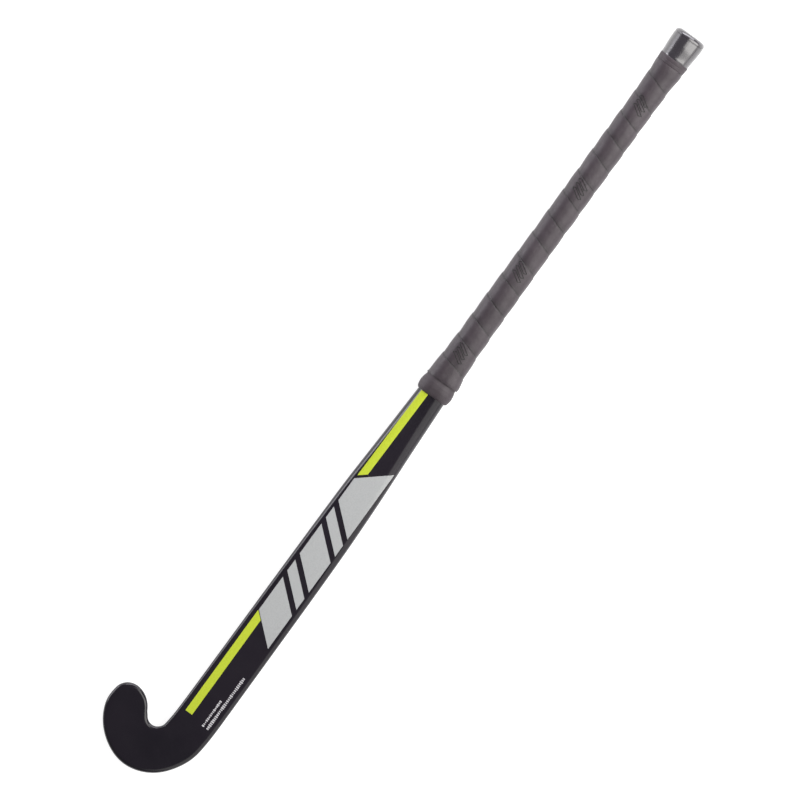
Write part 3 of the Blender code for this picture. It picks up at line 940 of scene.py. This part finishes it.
def bandPiece(part):
    table = bands[part]
    heights = spread(table[0][0], table[-1][0], bands["step"])
    fewer = heights[:: bands["insideEvery"]] + heights[-1:]
    around = (bands["ring"], stick["gripFlatPart"])
    outer = [sectionRing(shaftRib(y, -eased(table, y)[0]), *around) for y in heights]
    inner = [sectionRing(shaftRib(y, -bands["inside"]), *around) for y in fewer]
    return loft(part + "Band", outer + inner[::-1], "joined", "joined")


for part in ("finishing", "sealing"):
    fit(bandPiece(part), bandFinish, "band_rubber", part + "_band")

cap = {  # along its own axis from the open end
    "bottom": 0.9218,
    "length": 30.7 * mm,
    "openRadius": 16.5 * mm,
    "waistRadius": 17.6 * mm,
    "waist": 17.0 * mm,
    "wideRadius": 17.8 * mm,
    "corner": 5.0 * mm,
    "bore": 14.2 * mm,
    "endWall": 3.6 * mm,
    "recess": 1.2 * mm,
    "bevel": 0.3 * mm,
    "lip": 0.6 * mm,  # size of the rounded edge at the open end
    "lipRound": 0.15 * mm,  # and its middle point, in from both sides
    "groove": 0.45 * mm,
    "grooveWidth": 1.2 * mm,
    "grooveParts": (0.1, 0.35, 0.65, 0.9),  # its points, as shares of its width
    "cornerSteps": 24,
    "wallStep": 1.2 * mm,
    "discGap": 0.4 * mm,
    "discThickness": 0.8 * mm,
    "discFace": (  # radius, depth below the cap's end
        (0.0, 0.15 * mm), (6.71 * mm, 0.12 * mm), (7.32 * mm, 0.25 * mm), (7.93 * mm, 0.10 * mm),
        (11.70 * mm, 0.02 * mm), (12.05 * mm, 0.12 * mm), (12.20 * mm, 0.35 * mm),
    ),
    "steps": 96,  # round the axis
}


def turnedPiece(name, profile):
    # turns (radius, height) points, from one end of the profile to the other, about the handle's axis
    tilt = math.atan(faceSlope(cap["bottom"]))
    foot = Vector(place(0, cap["bottom"], axisHeight(cap["bottom"])))
    along = Vector((0, math.cos(tilt), math.sin(tilt)))
    upward = Vector((0, -math.sin(tilt), math.cos(tilt)))
    turns = [2 * math.pi * k / cap["steps"] for k in range(cap["steps"])]
    spokes = [Vector((math.sin(turn), 0, 0)) + upward * math.cos(turn) for turn in turns]
    rings = []
    for radius, height in profile[1:-1]:
        rings.append([foot + along * height + spoke * radius for spoke in spokes])
    ends = [foot + along * height for _, height in (profile[0], profile[-1])]
    return loft(name, rings, *ends)


def buttCap():
    length, wide, corner, bevel = cap["length"], cap["wideRadius"], cap["corner"], cap["bevel"]
    floor, recessRadius = length - cap["recess"], cap["discFace"][-1][0] + cap["discGap"]
    profile = [(0.0, floor), (recessRadius, floor)]
    profile += [(recessRadius, length - bevel), (recessRadius + bevel, length)]
    for step in range(cap["cornerSteps"] + 1):
        angle = math.pi / 2 * (1 - step / cap["cornerSteps"])
        radius = wide - corner + corner * math.cos(angle)
        profile.append((radius, length - corner + corner * math.sin(angle)))
    for part in cap["grooveParts"]:
        dip = cap["groove"] * math.sin(math.pi * part)
        profile.append((wide - dip, length - corner - cap["grooveWidth"] * part))
    flare = ((0.0, cap["openRadius"]), (cap["waist"], cap["waistRadius"]), (length - corner, wide))
    for height in spread(length - corner - cap["grooveWidth"], cap["lip"], cap["wallStep"]):
        profile.append((eased(flare, height)[0], height))
    profile.append((cap["openRadius"] - cap["lipRound"], cap["lipRound"]))
    profile.append((cap["openRadius"] - cap["lip"], 0.0))
    profile += [(cap["bore"] + bevel, 0.0), (cap["bore"], bevel)]
    profile += [(cap["bore"], length - cap["endWall"]), (0.0, length - cap["endWall"])]
    return turnedPiece("buttCap", profile)


def endDisc():
    # a shallow groove round its middle and a soft rim
    profile = [(radius, cap["length"] - depth) for radius, depth in cap["discFace"]]
    foot = cap["length"] - cap["discThickness"]
    return turnedPiece("endDisc", profile + [(profile[-1][0], foot), (0.0, foot)])


fit(buttCap(), capFinish, "cap_gloss", "butt_cap")
fit(endDisc(), discFinish, "cap_gloss", "end_disc")

tubeFinish = wovenLaminate()
hidden = {
    "head_core": castFoam(),
    "toe_side_tube": tubeFinish,
    "heel_side_tube": tubeFinish,
    "butt_plug": sparkErodedPlastic(),
}
for node, material in hidden.items():
    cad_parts[node].data.materials.clear()
    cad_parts[node].data.materials.append(material)
print("inner pieces finished")

studio = {
    "middle": (0.0080, -0.0052, 0.022),  # point at the centre of the view
    "width": 0.8251,  # what the frame takes in
    "distance": 12.0,
    "turn": 36,  # degrees, the handle running up to the right
    "sensor": 36.0,
    "worldLight": 0.18,
    "floorSize": 30.0,
    "floorGlow": 0.85,
    "floorCloud": 0.6,
}
warm, cool = (1.0, 0.985, 0.955), (0.965, 0.95, 1.0)
lamps = (  # name, position, the height it faces, size, radiance, tint
    ("heelSideSoftbox", (0.996, -0.1, 0.836), -0.1, (2.8, 1.82), 1.1, warm),
    ("gripSoftbox", (1.0, 1.0, 1.36), 1.0, (1.8, 2.5), 2.5, warm),
    ("headSideStrip", (-1.4, -0.35, 0.34), -0.35, (0.9, 0.55), 5.0, cool),
    ("gripSideStrip", (-1.4, 0.6, 0.32), 0.6, (1.3, 0.55), 2.0, cool),
    ("handleEndStrip", (-0.5, 1.9, 0.75), 0.0, (2.4, 0.9), 5.0, cool),
)


def addLamp(name, position, faces, size, radiance, tint):
    # what the stick mirrors at any height comes mostly from the lamp beside that height
    light = bpy.data.lights.new(name, "AREA")
    light.shape = "RECTANGLE"
    light.size, light.size_y = size
    light.energy = radiance * math.pi * size[0] * size[1]
    light.color = tint
    lamp = bpy.data.objects.new(name, light)
    lamp.location = position
    lamp.rotation_euler = (Vector((0.0, faces, 0.0)) - Vector(position)).to_track_quat("-Z", "Y").to_euler()
    bpy.context.scene.collection.objects.link(lamp)


def buildStudio():
    scene = bpy.context.scene
    scene.view_settings.view_transform = "Standard"
    world = bpy.data.worlds.new("studio")
    world.use_nodes = True
    background = world.node_tree.nodes["Background"]
    background.inputs["Color"].default_value = grey(1.0)
    background.inputs["Strength"].default_value = studio["worldLight"]
    scene.world = world

    bpy.ops.mesh.primitive_plane_add(size=studio["floorSize"])
    floor = bpy.context.object
    floor.name = "floor"
    # matt seamless paper: even and pale, and it glows a little so that shadows stay faint
    paper, tree, shader = newMaterial("paleSeamlessPaper", {
        "Roughness": 0.9, "Emission Color": grey(1.0), "Emission Strength": studio["floorGlow"],
    })
    cloud = fractal(tree, studio["floorCloud"])
    finish(tree, shader, {"Base Color": toned(tree, (cloud, (0.3, rgb("#a4a4a4")), (0.7, rgb("#a9a9a9"))))})
    floor.data.materials.append(paper)

    for lamp in lamps:
        addLamp(*lamp)

    camera = bpy.data.cameras.new("camera")
    camera.sensor_width = studio["sensor"]
    camera.lens = studio["sensor"] * studio["distance"] / studio["width"]
    eye = bpy.data.objects.new("camera", camera)
    x, y, z = studio["middle"]
    eye.location = (x, y, z + studio["distance"])
    eye.rotation_euler = (0, 0, math.radians(studio["turn"]))
    scene.collection.objects.link(eye)
    scene.camera = eye


buildStudio()
print("studio done")
